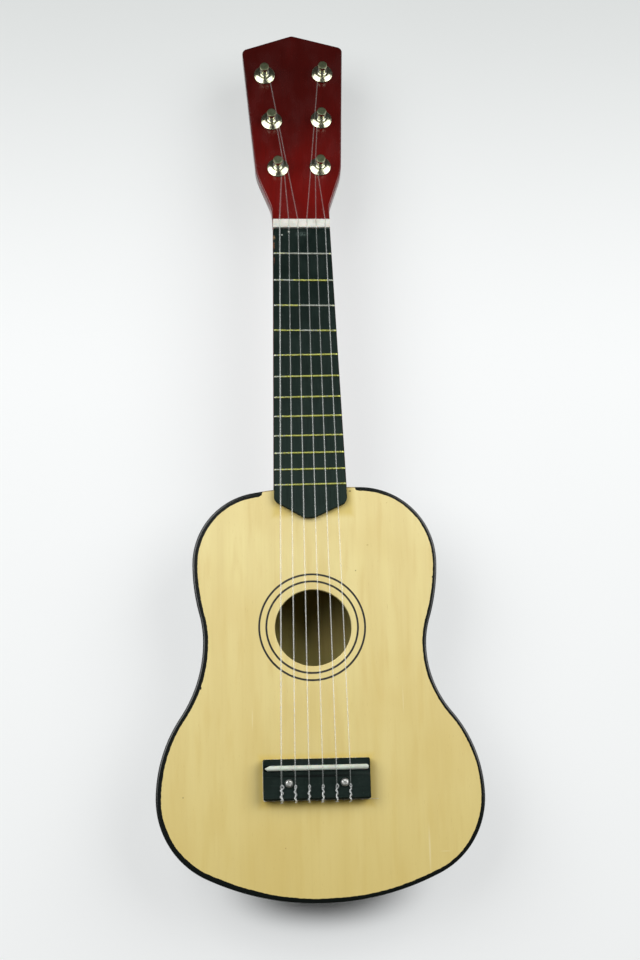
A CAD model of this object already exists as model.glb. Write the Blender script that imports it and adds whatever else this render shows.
"""Looks of a small six-string toy guitar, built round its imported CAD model.

Sizes inside the classes are millimetres in the guitar's own frame: the origin lies on the
underside of the back, straight below the saddle, +Y runs to the head, +X to the treble side and
+Z is up. They turn to metres only where a mesh, a lamp or a pattern is written.
"""

from __future__ import annotations

import logging
from dataclasses import dataclass, field
from enum import Enum
from functools import reduce
from math import radians

import bmesh
import bpy
import numpy as np
from mathutils import Matrix, Vector


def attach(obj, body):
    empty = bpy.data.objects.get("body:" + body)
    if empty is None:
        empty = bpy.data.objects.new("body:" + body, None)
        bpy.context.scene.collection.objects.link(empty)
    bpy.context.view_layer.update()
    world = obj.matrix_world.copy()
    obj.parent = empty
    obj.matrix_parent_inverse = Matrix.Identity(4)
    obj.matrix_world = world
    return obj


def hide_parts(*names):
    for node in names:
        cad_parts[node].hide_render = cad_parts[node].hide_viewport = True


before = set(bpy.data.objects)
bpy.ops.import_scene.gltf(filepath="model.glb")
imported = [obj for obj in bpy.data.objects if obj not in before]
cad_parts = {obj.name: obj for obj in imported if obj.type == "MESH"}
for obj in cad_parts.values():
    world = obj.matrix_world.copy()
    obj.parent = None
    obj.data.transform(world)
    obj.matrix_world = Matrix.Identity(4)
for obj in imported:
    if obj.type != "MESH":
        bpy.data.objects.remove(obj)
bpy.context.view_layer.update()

LOG = logging.getLogger("toy_guitar")
MM = 0.001
ROOT = "instrument"
FACE_Z = 56.0                                       # height of the soundboard's face
STRING_D = (1.0, 0.82, 0.78, 0.76, 0.72, 0.7)       # diameters of the strings, bass first
WELD_GAP, CRUMB = 0.002, 0.001                      # points this near are one, edges this short go
Colour = tuple[float, float, float, float]
Socket = bpy.types.NodeSocket


# ---------------------------------------------------------------- shading tools

def linear(code: str) -> Colour:
    """Turns an sRGB hex colour such as "E5D28F" to a linear colour with alpha 1.

    Args:
        code: six hex digits, red first.
    Returns:
        Red, green, blue and alpha for a colour socket.
    """
    srgb = np.array([int(code[k:k + 2], 16) for k in (0, 2, 4)]) / 255
    rgb = np.where(srgb <= 0.04045, srgb / 12.92, ((srgb + 0.055) / 1.055) ** 2.4)
    return (*map(float, rgb), 1.0)


class Nodes:
    """A node tree, and the one way that nodes are added to it."""

    def __init__(self, tree: bpy.types.NodeTree) -> None:
        """Takes hold of a tree."""
        self.tree = tree

    def add(self, kind: str, inputs: dict | None = None, out: int | str = 0, **settings) -> Socket:
        """Adds one node with its settings and links.

        Args:
            kind: the node's type without its ShaderNode prefix.
            inputs: a value or a socket to link, for each input by name or number.
            out: the output to hand back.
            settings: the node's own properties.
        Returns:
            The chosen output socket.
        """
        node = self.tree.nodes.new("ShaderNode" + kind)
        for key, value in settings.items():
            setattr(node, key, value)
        for key, value in (inputs or {}).items():
            if isinstance(value, Socket):
                self.tree.links.new(value, node.inputs[key])
            else:
                node.inputs[key].default_value = value
        return node.outputs[out]


class Shader(Nodes):
    """The node tree of one material, round its Principled shader."""

    def __init__(self, name: str, **constants: float | Colour) -> None:
        """Starts a material.

        Args:
            name: the material's name, the stuff and how its surface was made.
            constants: values for the shader's own sockets, spaces written as underscores.
        """
        self.material = bpy.data.materials.new(name)
        self.material.use_nodes = True
        super().__init__(self.material.node_tree)
        self.surface = self.tree.nodes["Principled BSDF"]
        for socket, value in constants.items():
            self.surface.inputs[socket.replace("_", " ")].default_value = value
        self.place = self.add("TexCoord", out="Object")

    def cells(self, size: tuple[float, float, float], low: float, high: float, to: float = 1.0,
              detail: float = 2.0, shift: float = 0.0, base: float = 0.0) -> Socket:
        """Soft spots: noise stretched to a size, and spread from low..high to base..base + to.

        Args:
            size: length of a spot along X, Y and Z, in millimetres.
            low: noise level that gives the base value.
            high: noise level that gives a full spot.
            to: what a full spot adds to the base value.
            detail: octaves of finer noise.
            shift: moves the pattern, so that two patterns differ.
            base: value between the spots.
        Returns:
            A socket with the spots.
        """
        scaled = self.add("Mapping", {"Vector": self.place, "Location": (shift, shift, shift),
                                      "Scale": tuple(1 / (MM * s) for s in size)})
        noise = self.add("TexNoise", {"Vector": scaled, "Scale": 1.0, "Detail": detail})
        return self.add("MapRange", {"Value": noise, "From Min": low, "From Max": high,
                                     "To Min": base, "To Max": base + to},
                        interpolation_type="SMOOTHSTEP")

    def along(self, start: float, end: float, to: float = 1.0,
              course: str = "SMOOTHSTEP") -> Socket:
        """A value that grows along the guitar, from 0 at one Y to the full value at another.

        Args:
            start: Y that gives 0, in millimetres.
            end: Y that gives the full value, in millimetres.
            to: the full value.
            course: how it runs in between, SMOOTHSTEP or LINEAR.
        Returns:
            A socket with the value.
        """
        y = self.add("SeparateXYZ", {0: self.place}, out="Y")
        return self.add("MapRange", {"Value": y, "From Min": start * MM, "From Max": end * MM,
                                     "To Max": to}, interpolation_type=course)

    def mark(self, centre: tuple[float, float, float], size: tuple[float, float, float],
             to: float = 1.0, soft: float = 0.3) -> Socket:
        """One oval mark: full inside an ellipsoid, fading to nothing at its skin.

        Args:
            centre: middle of the mark, in millimetres.
            size: half lengths along X, Y and Z, in millimetres.
            to: strength in the middle.
            soft: share of the size over which it fades.
        Returns:
            A socket with the mark.
        """
        near = self.add("Mapping", {
            "Vector": self.place, "Scale": tuple(1 / (MM * s) for s in size),
            "Location": tuple(-c / s for c, s in zip(centre, size))})
        reach = self.add("VectorMath", {0: near}, out="Value", operation="LENGTH")
        return self.add("MapRange", {"Value": reach, "From Min": 1.0, "From Max": 1 - soft,
                                     "To Max": to}, interpolation_type="SMOOTHSTEP")

    def tint(self, base: Socket | Colour, layers: list[tuple[Socket, str]]) -> Socket:
        """Paints colours over a base, one after the other.

        Args:
            base: the colour underneath.
            layers: a mask and a hex colour for each coat.
        Returns:
            The painted colour.
        """
        for mask, code in layers:
            base = self.add("Mix", {0: mask, 6: base, 7: linear(code)}, 2, data_type="RGBA")
        return base

    def finish(self, colour: Socket, rough: Socket | None = None, height: Socket | None = None,
               relief: float = 0.02) -> bpy.types.Material:
        """Links the patterns to the shader.

        Args:
            colour: the base colour.
            rough: the roughness, if it varies.
            height: relief from 0 to 1, if any.
            relief: depth of that relief, in millimetres.
        Returns:
            The finished material.
        """
        self.tree.links.new(colour, self.surface.inputs["Base Color"])
        if rough is not None:
            self.tree.links.new(rough, self.surface.inputs["Roughness"])
        if height is not None:
            bump = self.add("Bump", {"Height": height, "Distance": relief * MM, "Strength": 1.0})
            self.tree.links.new(bump, self.surface.inputs["Normal"])
        return self.material


# ---------------------------------------------------------------- finishes

@dataclass(frozen=True)
class FacePly:
    """Basswood plywood, peeled veneer under a thin sprayed lacquer, with a black painted edge.

    The eye sees pale yellow with soft bands and short fibres along the guitar, satin, two thin
    printed rings round the hole, and a brushed black edge that stops short of the neck.
    """

    pale: str = "F0E19F"
    band: str = "E0CB88"
    fibre: str = "D2B973"
    blotch: str = "DDC47C"
    ink: str = "050605"
    paint: str = "0A100D"
    edge_wood: str = "6E4A24"
    warm: str = "DBC26C"
    warm_y: tuple[float, float] = (160.0, -80.0)
    ring_centre: tuple[float, float] = (-3.05, 85.95)
    ring_radii: tuple[float, float] = (32.95, 28.5)
    ring_w: float = 1.3
    specks: tuple = ((25, 120.8, 0.5, 0.6, "8A7A3C"), (-83.4, -15.9, 0.6, 0.5, "86743C"),
                     (33, 137, 0.9, 0.7, "CDB670"), (-22, -47, 0.5, 0.5, "B08A4A"),
                     (22.9, 171.9, 0.9, 0.7, "5B4518"), (46, 164, 0.5, 0.4, "C9AF6A"))
    scratches: tuple = ((74.5, -50.9, 4.6, 0.35), (64.9, -49, 0.9, 19), (-41, 30, 0.4, 9),
                        (18, 8, 0.35, 6), (52, 40, 0.4, 11))
    paint_bumps: tuple = ((-72.6, 49.7, 0.8, 1.3), (73.4, 115.9, 0.6, 0.8))
    bridge: tuple[float, float, float, float] = (-2.6, -7.6, 31.6, 12.4)
    bridge_glue: str = "E0C04C"
    board: tuple[float, float, float, float] = (-0.9, 200.0, 22.6, 41.0)
    board_glue: str = "D2B648"
    glue_reach: float = 5.5

    def foot(self, s: Shader, box: tuple, share: float) -> Socket:
        """The glue stain round a glued block: full at its foot, gone at `glue_reach` from it.

        Args:
            s: the shader it goes into.
            box: the block's middle x and y and half its two sizes.
            share: how strong the stain is at the foot.
        Returns:
            The stain's share at each place.
        """
        x, y, half_w, half_l = box
        near = s.add("Mapping", {"Vector": s.place, "Location": (-x * MM, -y * MM, 0.0)})
        off = s.add("VectorMath", {0: s.add("VectorMath", {0: near}, operation="ABSOLUTE"),
                                   1: (half_w * MM, half_l * MM, 1.0)}, operation="SUBTRACT")
        apart = s.add("SeparateXYZ", {0: off})
        reach = s.add("Math", {0: apart, 1: apart.node.outputs["Y"]}, operation="MAXIMUM")
        return s.add("MapRange", {"Value": reach, "From Min": self.glue_reach * MM,
                                  "From Max": 0.0, "To Max": share},
                     interpolation_type="SMOOTHSTEP")

    def material(self) -> bpy.types.Material:
        """Builds the material; it reads the point attributes paint_mm and inset_mm.

        Returns:
            The finished material.
        """
        s = Shader("basswood_ply_lacquered", Coat_Weight=0.25, Coat_Roughness=0.3, IOR=1.5)
        fibre = s.cells((1.4, 40, 20), 0.40, 0.85, 0.14, detail=3)
        wood = s.tint(linear(self.pale), [
            (s.cells((16, 200, 60), 0.38, 0.70, 0.48), self.band),
            (s.cells((6, 45, 30), 0.48, 0.72, 0.40, shift=7), self.blotch),
            (s.cells((50, 60, 60), 0.42, 0.72, 0.38, shift=5), self.blotch),
            (s.along(*self.warm_y, 0.7, "LINEAR"), self.warm),
            (self.foot(s, self.bridge, 0.62), self.bridge_glue),
            (self.foot(s, self.board, 0.6), self.board_glue),
            (fibre, self.fibre),
            (s.cells((0.5, 5, 8), 0.66, 0.76, 0.35, shift=2), "BFA25C"),
            *((s.mark((x, y, FACE_Z), (w, h, 1), 0.8, 0.6), c) for x, y, w, h, c in self.specks),
            *((s.mark((x, y, FACE_Z), (w, h, 1), 0.45, 0.9), "F4E7B8")
              for x, y, w, h in self.scratches)])
        from_centre = s.add("VectorMath", {0: s.add("Mapping", {
            "Vector": s.place, "Scale": (1, 1, 0),
            "Location": (-self.ring_centre[0] * MM, -self.ring_centre[1] * MM, 0)})},
            out="Value", operation="LENGTH")
        ragged = s.cells((2, 2, 2), 0.2, 0.8, 0.06 * MM)
        rings = 0.0
        for radius in self.ring_radii:
            off = s.add("Math", {0: from_centre, 1: radius * MM}, operation="SUBTRACT")
            gap = s.add("Math", {0: off}, operation="ABSOLUTE")
            gap = s.add("Math", {0: gap, 1: ragged}, operation="ADD")
            line = s.add("MapRange", {"Value": gap, "From Min": (self.ring_w / 2 + 0.04) * MM,
                                      "From Max": (self.ring_w / 2 - 0.06) * MM})
            rings = s.add("Math", {0: rings, 1: line}, operation="MAXIMUM")
        inset = s.add("Attribute", out="Fac", attribute_name="inset_mm")
        rim = s.add("MapRange", {"Value": inset, "From Min": 0.9, "From Max": 0.5, "To Max": 0.8})
        edge = s.add("Math", {0: s.add("Attribute", out="Fac", attribute_name="paint_mm"),
                              1: s.cells((2.6, 2.6, 2.6), 0.25, 0.75, 0.24, detail=3)},
                     operation="ADD")
        paint = s.add("MapRange", {"Value": edge, "From Min": 0.08, "From Max": 0.26})
        for x, y, w, h in self.paint_bumps:
            bump = s.mark((x, y, FACE_Z), (w, h, 1.5))
            paint = s.add("Math", {0: paint, 1: bump}, operation="MAXIMUM")
        colour = s.tint(wood, [(rings, self.ink), (rim, self.edge_wood), (paint, self.paint),
                               (s.cells((0.5, 0.5, 0.5), 0.74, 0.78, 0.10, shift=9), "E9E6DA")])
        dull = s.cells((9, 40, 9), 0.3, 0.7, 0.12, shift=4, base=0.38)
        rough = s.add("Mix", {0: paint, 2: dull, 3: 0.17})
        height = s.add("Math", {0: fibre, 1: 0.5, 2: paint}, operation="MULTIPLY_ADD")
        return s.finish(colour, rough, height, 0.03)


@dataclass(frozen=True)
class BareTimber:
    """Planed bare wood inside the box: dull, straight fibres, a little saw fuzz and glue stain."""

    name: str
    pale: str = "C9AE76"
    dark: str = "A98A54"
    along: tuple[float, float, float] = (1.2, 40.0, 1.6)

    def material(self) -> bpy.types.Material:
        """Builds the material, with fibres as long as `along` says on each axis.

        Returns:
            The finished material.
        """
        s = Shader(self.name, IOR=1.45)
        fibre = s.cells(self.along, 0.3, 0.7, 0.8, detail=4)
        patches = s.cells((25, 40, 25), 0.4, 0.7, 0.45, shift=3)
        colour = s.tint(linear(self.pale), [(fibre, self.dark), (patches, "BFA566")])
        rough = s.cells((3, 9, 3), 0.2, 0.8, 0.2, base=0.65)
        return s.finish(colour, rough, fibre, 0.12)


@dataclass(frozen=True)
class BlackLacquer:
    """Black nitro lacquer brushed on bent plywood: deep gloss, slightly wavy, scuffs and dust."""

    black: str = "0A100D"
    scuff: str = "4A524C"

    def material(self) -> bpy.types.Material:
        """Builds the material; the waves are about 5 mm wide, as brushed lacquer flows out.

        Returns:
            The finished material.
        """
        s = Shader("black_lacquer_brushed", Coat_Weight=0.35, Coat_Roughness=0.08, IOR=1.45)
        scuff = s.add("Math", {0: s.cells((1.5, 14, 0.5), 0.62, 0.74, 0.45, detail=4),
                               1: s.cells((30, 30, 18), 0.5, 0.62)}, operation="MULTIPLY")
        dust = s.cells((0.6, 0.6, 0.6), 0.75, 0.79, 0.3, shift=6)
        colour = s.tint(linear(self.black), [(scuff, self.scuff), (dust, "B9BDB4")])
        rough = s.add("Math", {0: s.cells((14, 14, 14), 0.3, 0.75, 0.10, base=0.14), 1: scuff},
                      operation="ADD")
        return s.finish(colour, rough, s.cells((5, 5, 3.5), 0.2, 0.8, detail=1), 0.06)


@dataclass(frozen=True)
class RedStain:
    """Maple stained red under glossy lacquer: blotchy where the stain soaked in, dark head."""

    deep: str = "2A0503"
    body: str = "4C0A07"
    bright: str = "700F0B"
    soaked: str = "3E0705"
    head_y: tuple[float, float] = (352.0, 482.0)

    def material(self) -> bpy.types.Material:
        """Builds the material; the stain darkens from the nut to the head's top.

        Returns:
            The finished material.
        """
        s = Shader("maple_red_stain_lacquered", Coat_Weight=0.3, Coat_Roughness=0.12, IOR=1.45)
        up = s.along(*self.head_y)
        fibre = s.cells((0.9, 26, 1.4), 0.40, 0.80, 0.22, detail=4)
        colour = s.tint(linear(self.bright), [
            (up, self.body),
            (s.cells((26, 60, 26), 0.36, 0.68, 0.38), self.soaked),
            (s.cells((14, 40, 14), 0.45, 0.80, 0.30, shift=4), self.bright),
            (fibre, self.deep),
            (s.add("Math", {0: up, 1: 0.55}, operation="MULTIPLY"), self.deep),
            (s.cells((0.5, 0.5, 0.5), 0.76, 0.79, 0.2, shift=8), "A98B80")])
        rough = s.cells((10, 20, 10), 0.3, 0.7, 0.14, base=0.16)
        height = s.add("Math", {0: fibre, 1: s.cells((6, 9, 6), 0.2, 0.8, detail=1)},
                       operation="ADD")
        return s.finish(colour, rough, height, 0.025)


@dataclass(frozen=True)
class BlackStain:
    """Hardwood dyed black and rubbed, not lacquered: fine grain, dusty grey where hands wear it.

    `worn_y` gives where the dusty wear ends and begins, `along` the fibre's size on each axis,
    `chips` the ovals where the dye is knocked off to the wood, `step` a line of dark dirt, and
    `gloss` the specular level.
    """

    name: str
    dye: str = "0F1C18"
    worn: str = "3B4A43"
    grain: str = "0E1514"
    worn_y: tuple[float, float] = (345.0, 150.0)
    along: tuple[float, float, float] = (0.7, 16.0, 3.0)
    chips: tuple = ()
    step: tuple = ()
    gloss: float = 0.05

    def material(self) -> bpy.types.Material:
        """Builds the material with its wear, grain and chips.

        Returns:
            The finished material.
        """
        s = Shader(self.name, IOR=1.45, Specular_IOR_Level=self.gloss)
        rubbed = s.cells((9, 14, 9), 0.35, 0.70, 0.30, detail=3, shift=2)
        fibre = s.cells(self.along, 0.40, 0.70, 0.35, detail=4)
        colour = s.tint(linear(self.dye), [
            (s.along(*self.worn_y, 0.36), self.worn), (rubbed, "2B3733"), (fibre, self.grain),
            (s.cells((0.45, 0.45, 0.45), 0.70, 0.76, 0.45, shift=6), "8E968C")])
        ragged = s.cells((0.9, 1.3, 0.9), 0.42, 0.56, detail=4, shift=1)
        for x, y, z, w, h, code in self.chips:
            spot = s.add("Math", {0: s.mark((x, y, z), (w, h, 1.8), soft=0.7), 1: ragged},
                         operation="MULTIPLY")
            colour = s.tint(colour, [(spot, code)])
        if self.step:
            x, y, z, w, h, d = self.step
            colour = s.tint(colour, [(s.mark((x, y, z), (w, h, d), 0.8, 0.5), "070B09")])
        rough = s.cells((6, 12, 6), 0.3, 0.7, 0.2, base=0.45)
        return s.finish(colour, rough, fibre, 0.04)


@dataclass(frozen=True)
class WornBrass:
    """Brass fret wire with a thin nickel wash, dull, the wash flaked off where strings press.

    Black grime sits along the foot of each crown, so only its ridge shines.
    """

    brass: str = "CDD06A"
    wash: str = "B9BFB4"
    dirt: str = "3B4034"

    def material(self) -> bpy.types.Material:
        """Builds the material from the point attributes wash, what is left, and rise, 1 on top.

        Returns:
            The finished material.
        """
        s = Shader("brass_fret_wire_worn", Metallic=0.65)
        left = s.add("Attribute", out="Fac", attribute_name="wash")
        flakes = s.cells((1.3, 0.6, 0.6), 0.30, 0.70, detail=4)
        plated = s.add("MapRange", {"Value": s.add("Math", {0: left, 1: flakes}, operation="ADD"),
                                    "From Min": 0.92, "From Max": 1.08})
        grime = s.cells((1.0, 0.9, 0.9), 0.52, 0.66, 0.6, detail=3, shift=5)
        foot = s.add("MapRange", {"Value": s.add("Attribute", out="Fac", attribute_name="rise"),
                                  "From Min": 0.85, "From Max": 0.25, "To Max": 0.9})
        colour = s.tint(linear(self.brass), [(plated, self.wash), (grime, self.dirt),
                                             (foot, "20261E")])
        rough = s.cells((2, 1, 1), 0.2, 0.8, 0.25, base=0.28)
        return s.finish(colour, rough, flakes, 0.05)


@dataclass(frozen=True)
class CastPlastic:
    """Moulded plastic, waxy and faintly mottled, with grey handling dirt in its scratches."""

    name: str
    white: str = "DEDED6"
    dirt: str = "A7AA9C"

    def material(self) -> bpy.types.Material:
        """Builds the material; file marks across it are about half a millimetre apart.

        Returns:
            The finished material.
        """
        s = Shader(self.name, IOR=1.5, Subsurface_Weight=0.12, Subsurface_Scale=0.8 * MM)
        marks = s.cells((5, 0.5, 0.8), 0.5, 0.7, 0.5, detail=3)
        colour = s.tint(linear(self.white), [
            (s.cells((6, 4, 4), 0.4, 0.7, 0.35, shift=1), self.dirt), (marks, "C6C7BA"),
            (s.cells((0.5, 0.5, 0.5), 0.70, 0.76, 0.5, shift=7), "7C7C6C")])
        rough = s.add("Math", {0: marks, 1: 0.32}, operation="ADD")
        return s.finish(colour, rough, marks, 0.03)


@dataclass(frozen=True)
class PlatedSteel:
    """Bright nickel on stamped or turned steel, warm grey, lightly tarnished and finger-marked."""

    name: str
    bright: str = "CDCDB0"
    tarnish: str = "626A50"
    base_rough: float = 0.16

    def material(self) -> bpy.types.Material:
        """Builds the material; the point attribute tarnish marks the dull end faces.

        Returns:
            The finished material.
        """
        s = Shader(self.name, Metallic=1.0)
        dull = s.add("Math", {0: s.add("Attribute", out="Fac", attribute_name="tarnish"),
                              1: s.cells((2.5, 2.5, 2.5), 0.45, 0.75, 0.35, detail=3)},
                     operation="ADD")
        colour = s.tint(linear(self.bright), [
            (dull, self.tarnish),
            (s.cells((0.5, 0.5, 0.5), 0.70, 0.76, 0.6, shift=3), "3A382E")])
        rough = s.add("Math", {0: dull, 1: 0.3, 2: self.base_rough}, operation="MULTIPLY_ADD")
        return s.finish(colour, rough, s.cells((1.5, 1.5, 1.5), 0.2, 0.8, detail=2), 0.015)


@dataclass(frozen=True)
class ClearNylon:
    """Drawn nylon string, milky and half clear, going white and rough where it is knotted."""

    milk: str = "EEF3F0"
    white: str = "F2F5F4"
    milky: float = 0.07

    def material(self) -> bpy.types.Material:
        """Builds the material; the point attribute fray is 1 at a knot and 0 on a clean run.

        Returns:
            The finished material.
        """
        s = Shader("nylon_drawn", IOR=1.53, Specular_IOR_Level=1.0, Coat_Weight=1.0,
                   Coat_Roughness=0.25, Coat_IOR=2.3)
        fray = s.add("Attribute", out="Fac", attribute_name="fray")
        nicks = s.cells((0.5, 2.0, 0.5), 0.5, 0.75, 0.4, detail=2)
        colour = s.tint(linear(self.milk), [(nicks, "D9D6CC"), (fray, self.white)])
        rough = s.add("MapRange", {"Value": fray, "To Min": 0.2, "To Max": 0.6})
        flecks = s.add("Math", {0: s.cells((0.9, 0.6, 0.9), 0.40, 0.60, detail=1, shift=4),
                                1: fray, 2: 0.5}, operation="MULTIPLY_ADD")
        crazed = s.add("Math", {0: fray, 1: flecks}, operation="MULTIPLY")
        cloud = s.add("MapRange", {"Value": crazed, "To Min": self.milky, "To Max": 0.75})
        s.tree.links.new(cloud, s.surface.inputs["Alpha"])
        return s.finish(colour, rough, nicks, 0.02)


@dataclass(frozen=True)
class HideGlue:
    """Squeezed-out wood glue, dried to a yellowish translucent bead."""

    def material(self) -> bpy.types.Material:
        """Builds the material; the lumps are about 2 mm long.

        Returns:
            The finished material.
        """
        s = Shader("wood_glue_dried", IOR=1.48)
        lumps = s.cells((2, 1, 1), 0.3, 0.7, detail=3)
        colour = s.tint(linear("F3EDDB"), [(lumps, "DCCF9E")])
        rough = s.add("MapRange", {"Value": lumps, "To Min": 0.25, "To Max": 0.5})
        return s.finish(colour, rough, lumps, 0.1)


class Stuff(Enum):
    """The finishes of this guitar, each with the record's slot it belongs to."""

    FACE = (FacePly(), "soundboard_ply")
    PLY = (BareTimber("basswood_ply_bare", "BCB267", "B2A55A", (6.0, 90.0, 6.0)), "bare_pine")
    PINE = (BareTimber("pine_planed_bare", "CDB279", "A8864E", (2.0, 2.0, 30.0)), "bare_pine")
    CROSS = (BareTimber("spruce_planed_bare", "CDB279", "A8864E", (40.0, 1.4, 1.6)), "bare_pine")
    LACQUER = (BlackLacquer(), "black_lacquered_ply")
    RED = (RedStain(), "red_stained_wood")
    BOARD = (BlackStain("fretboard_dyed_black", chips=(
        (-22.6, 342.5, 59.4, 1.1, 1.9, "A88A66"), (-22.7, 337.0, 59.4, 0.8, 3.4, "7A5236"),
        (-22.7, 327.0, 59.3, 0.6, 4.0, "5C3A2C"), (-12.9, 346.6, 59.5, 1.5, 0.8, "B9BAAE"),
        (-4.0, 345.0, 59.5, 5.5, 1.9, "4A5753"), (-17.2, 344.4, 59.5, 0.9, 0.7, "B8BDB4"))),
        "black_stained_wood")
    BLOCK = (BlackStain("bridge_dyed_black", "0F1B17", "1E2D28", worn_y=(10.0, -19.0),
                        along=(16.0, 0.9, 0.9), step=(-2.6, -4.9, 63.6, 33.0, 1.1, 1.2),
                        gloss=0.12),
             "black_stained_wood")
    FRET = (WornBrass(), "fret_wire")
    WHITE = (CastPlastic("plastic_nut_white"), "white_plastic")
    BLADE = (CastPlastic("plastic_saddle_white", "D6DED0", "9EA797"), "white_plastic")
    KNOB = (CastPlastic("plastic_button_cream", "E4DFCF", "B9B3A0"), "white_button_plastic")
    NICKEL = (PlatedSteel("nickel_plate_bright"), "nickel_plate")
    ZINC = (PlatedSteel("zinc_plate_screw", "D8D9D4", "77756C", 0.4), "zinc_screws")
    NYLON = (ClearNylon(), "clear_nylon")
    GLUE = (HideGlue(), "bare_pine")

    @property
    def slot(self) -> str:
        """The record's material slot."""
        return self.value[1]

    @property
    def material(self) -> bpy.types.Material:
        """The finish's material, built on first use."""
        if self not in _MADE:
            _MADE[self] = self.value[0].material()
        return _MADE[self]


_MADE: dict[Stuff, bpy.types.Material] = {}


# ---------------------------------------------------------------- mesh tools

@dataclass
class Form:
    """A mesh in the making: points in millimetres, faces, a finish for each face, attributes."""

    points: np.ndarray
    faces: list
    finish: list[int] = field(default_factory=list)
    marks: dict[str, np.ndarray] = field(default_factory=dict)

    def joined(self, other: Form) -> Form:
        """Both forms as one, the other's faces numbered after this one's.

        Args:
            other: the form to add.
        Returns:
            A new form.
        """
        n = len(self.points)
        moved = [[v + n for v in f] for f in other.faces]
        marks = {k: np.concatenate([self.marks[k], other.marks[k]]) for k in self.marks}
        return Form(np.vstack([self.points, other.points]), self.faces + moved,
                    self.finish + other.finish, marks)

    def make(self, name: str, stuffs: list[Stuff], smooth: float = 35.0) -> bpy.types.Object:
        """Writes the form to a welded mesh with outward faces.

        Args:
            name: the object's name.
            stuffs: the finishes that `finish` numbers.
            smooth: edges sharper than this many degrees stay sharp.
        Returns:
            The object, at the origin.
        """
        mesh = bpy.data.meshes.new(name)
        mesh.from_pydata((self.points * MM).tolist(), [], self.faces)
        if self.finish:
            mesh.polygons.foreach_set("material_index", self.finish)
        for key, values in self.marks.items():
            mark = mesh.attributes.new(key, "FLOAT", "POINT")
            mark.data.foreach_set("value", values.astype(np.float32))
        weld(mesh, smooth)
        for stuff in stuffs:
            mesh.materials.append(stuff.material)
        return put(name, mesh)

    def hang(self, name: str, stuffs: list[Stuff], *nodes: str, body: str = ROOT,
             smooth: float = 35.0) -> None:
        """Makes the piece and hangs it on its body; its first finish is the main one."""
        enrol(self.make(name, stuffs, smooth), stuffs[0], body, *nodes)


def together(forms: list[Form]) -> Form:
    """Several forms as one, in their order."""
    return reduce(Form.joined, forms)


def put(name: str, data: bpy.types.ID) -> bpy.types.Object:
    """Puts a mesh, a lamp or a camera into the scene.

    Args:
        name: the object's name.
        data: what the object shows.
    Returns:
        The object, at the origin.
    """
    thing = bpy.data.objects.new(name, data)
    bpy.context.scene.collection.objects.link(thing)
    return thing


def weld(mesh: bpy.types.Mesh, sharp: float = 35.0, flat: float = 0.0) -> None:
    """Merges doubled points, turns all faces outwards, and shades all but sharp edges smooth.

    Args:
        mesh: the mesh to mend.
        sharp: edges sharper than this many degrees stay sharp.
        flat: joins faces that meet at less than this many degrees, if above 0.
    """
    work = bmesh.new()
    work.from_mesh(mesh)
    bmesh.ops.remove_doubles(work, verts=work.verts, dist=WELD_GAP * MM)
    bmesh.ops.dissolve_degenerate(work, edges=work.edges, dist=CRUMB * MM)
    if flat:
        bmesh.ops.dissolve_limit(work, angle_limit=radians(flat), verts=work.verts,
                                 edges=work.edges)
    bmesh.ops.recalc_face_normals(work, faces=work.faces)
    work.to_mesh(mesh)
    work.free()
    mesh.shade_smooth()
    mesh.set_sharp_from_angle(angle=radians(sharp))


def enrol(piece: bpy.types.Object, stuff: Stuff, body: str, *nodes: str) -> None:
    """Hangs a finished piece on its body, in place of the CAD nodes that it stands for.

    Args:
        piece: the finished object.
        stuff: its main finish.
        body: the CAD body that carries it.
        nodes: the CAD nodes it replaces.
    """
    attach(piece, body)
    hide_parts(*nodes)
    LOG.info("%s: %d faces, %s, on %s", piece.name, len(piece.data.polygons),
             stuff.name.lower(), body)


def dress(stuff: Stuff, *nodes: str) -> None:
    """Gives CAD nodes that keep their own mesh a finish.

    Args:
        stuff: the finish.
        nodes: the CAD nodes.
    """
    for node in nodes:
        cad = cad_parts[node]
        cad.data.materials.clear()
        cad.data.materials.append(stuff.material)
        LOG.info("%s: CAD mesh, %s", node, stuff.name.lower())


def grid(rows: int, cols: int, wrap: bool = False) -> np.ndarray:
    """Quads between neighbouring points of a grid stored row by row, each row a closed ring.

    Args:
        rows: number of rows.
        cols: points in a row.
        wrap: the last row meets the first.
    Returns:
        An array of four point numbers for each quad, ordered row by row.
    """
    r = np.arange(rows if wrap else rows - 1)[:, None]
    c = np.arange(cols)[None, :]
    down, across = (r + 1) % rows, (c + 1) % cols
    return np.stack([r * cols + c, r * cols + across, down * cols + across, down * cols + c],
                    axis=-1).reshape(-1, 4)


def loft(rings: np.ndarray, wrap: bool = False) -> Form:
    """Skin over closed rings of points, one after the other.

    Args:
        rings: array of ring, point on the ring, coordinate.
        wrap: the last ring meets the first; if not, a flat face closes each end.
    Returns:
        The form.
    """
    rows, cols = rings.shape[:2]
    faces = grid(rows, cols, wrap).tolist()
    if not wrap:
        faces += [list(range(cols))[::-1], list(range((rows - 1) * cols, rows * cols))]
    return Form(rings.reshape(-1, 3), faces, [0] * len(faces))


def lathe(profile: np.ndarray, around: int = 56) -> Form:
    """Turns a closed profile about the Z axis: x = r cos a, y = r sin a, z = height.

    Args:
        profile: radius and height of each corner.
        around: points round a turn.
    Returns:
        The form.
    """
    a = np.linspace(0, 2 * np.pi, around, endpoint=False)
    r, z = profile[:, :1], profile[:, 1:]
    return loft(np.stack([r * np.cos(a), r * np.sin(a), z + 0 * a], axis=-1), wrap=True)


def raised(points: np.ndarray, z: float) -> np.ndarray:
    """Plane points set at a height."""
    return np.column_stack([points, np.full(len(points), z)])


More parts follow.
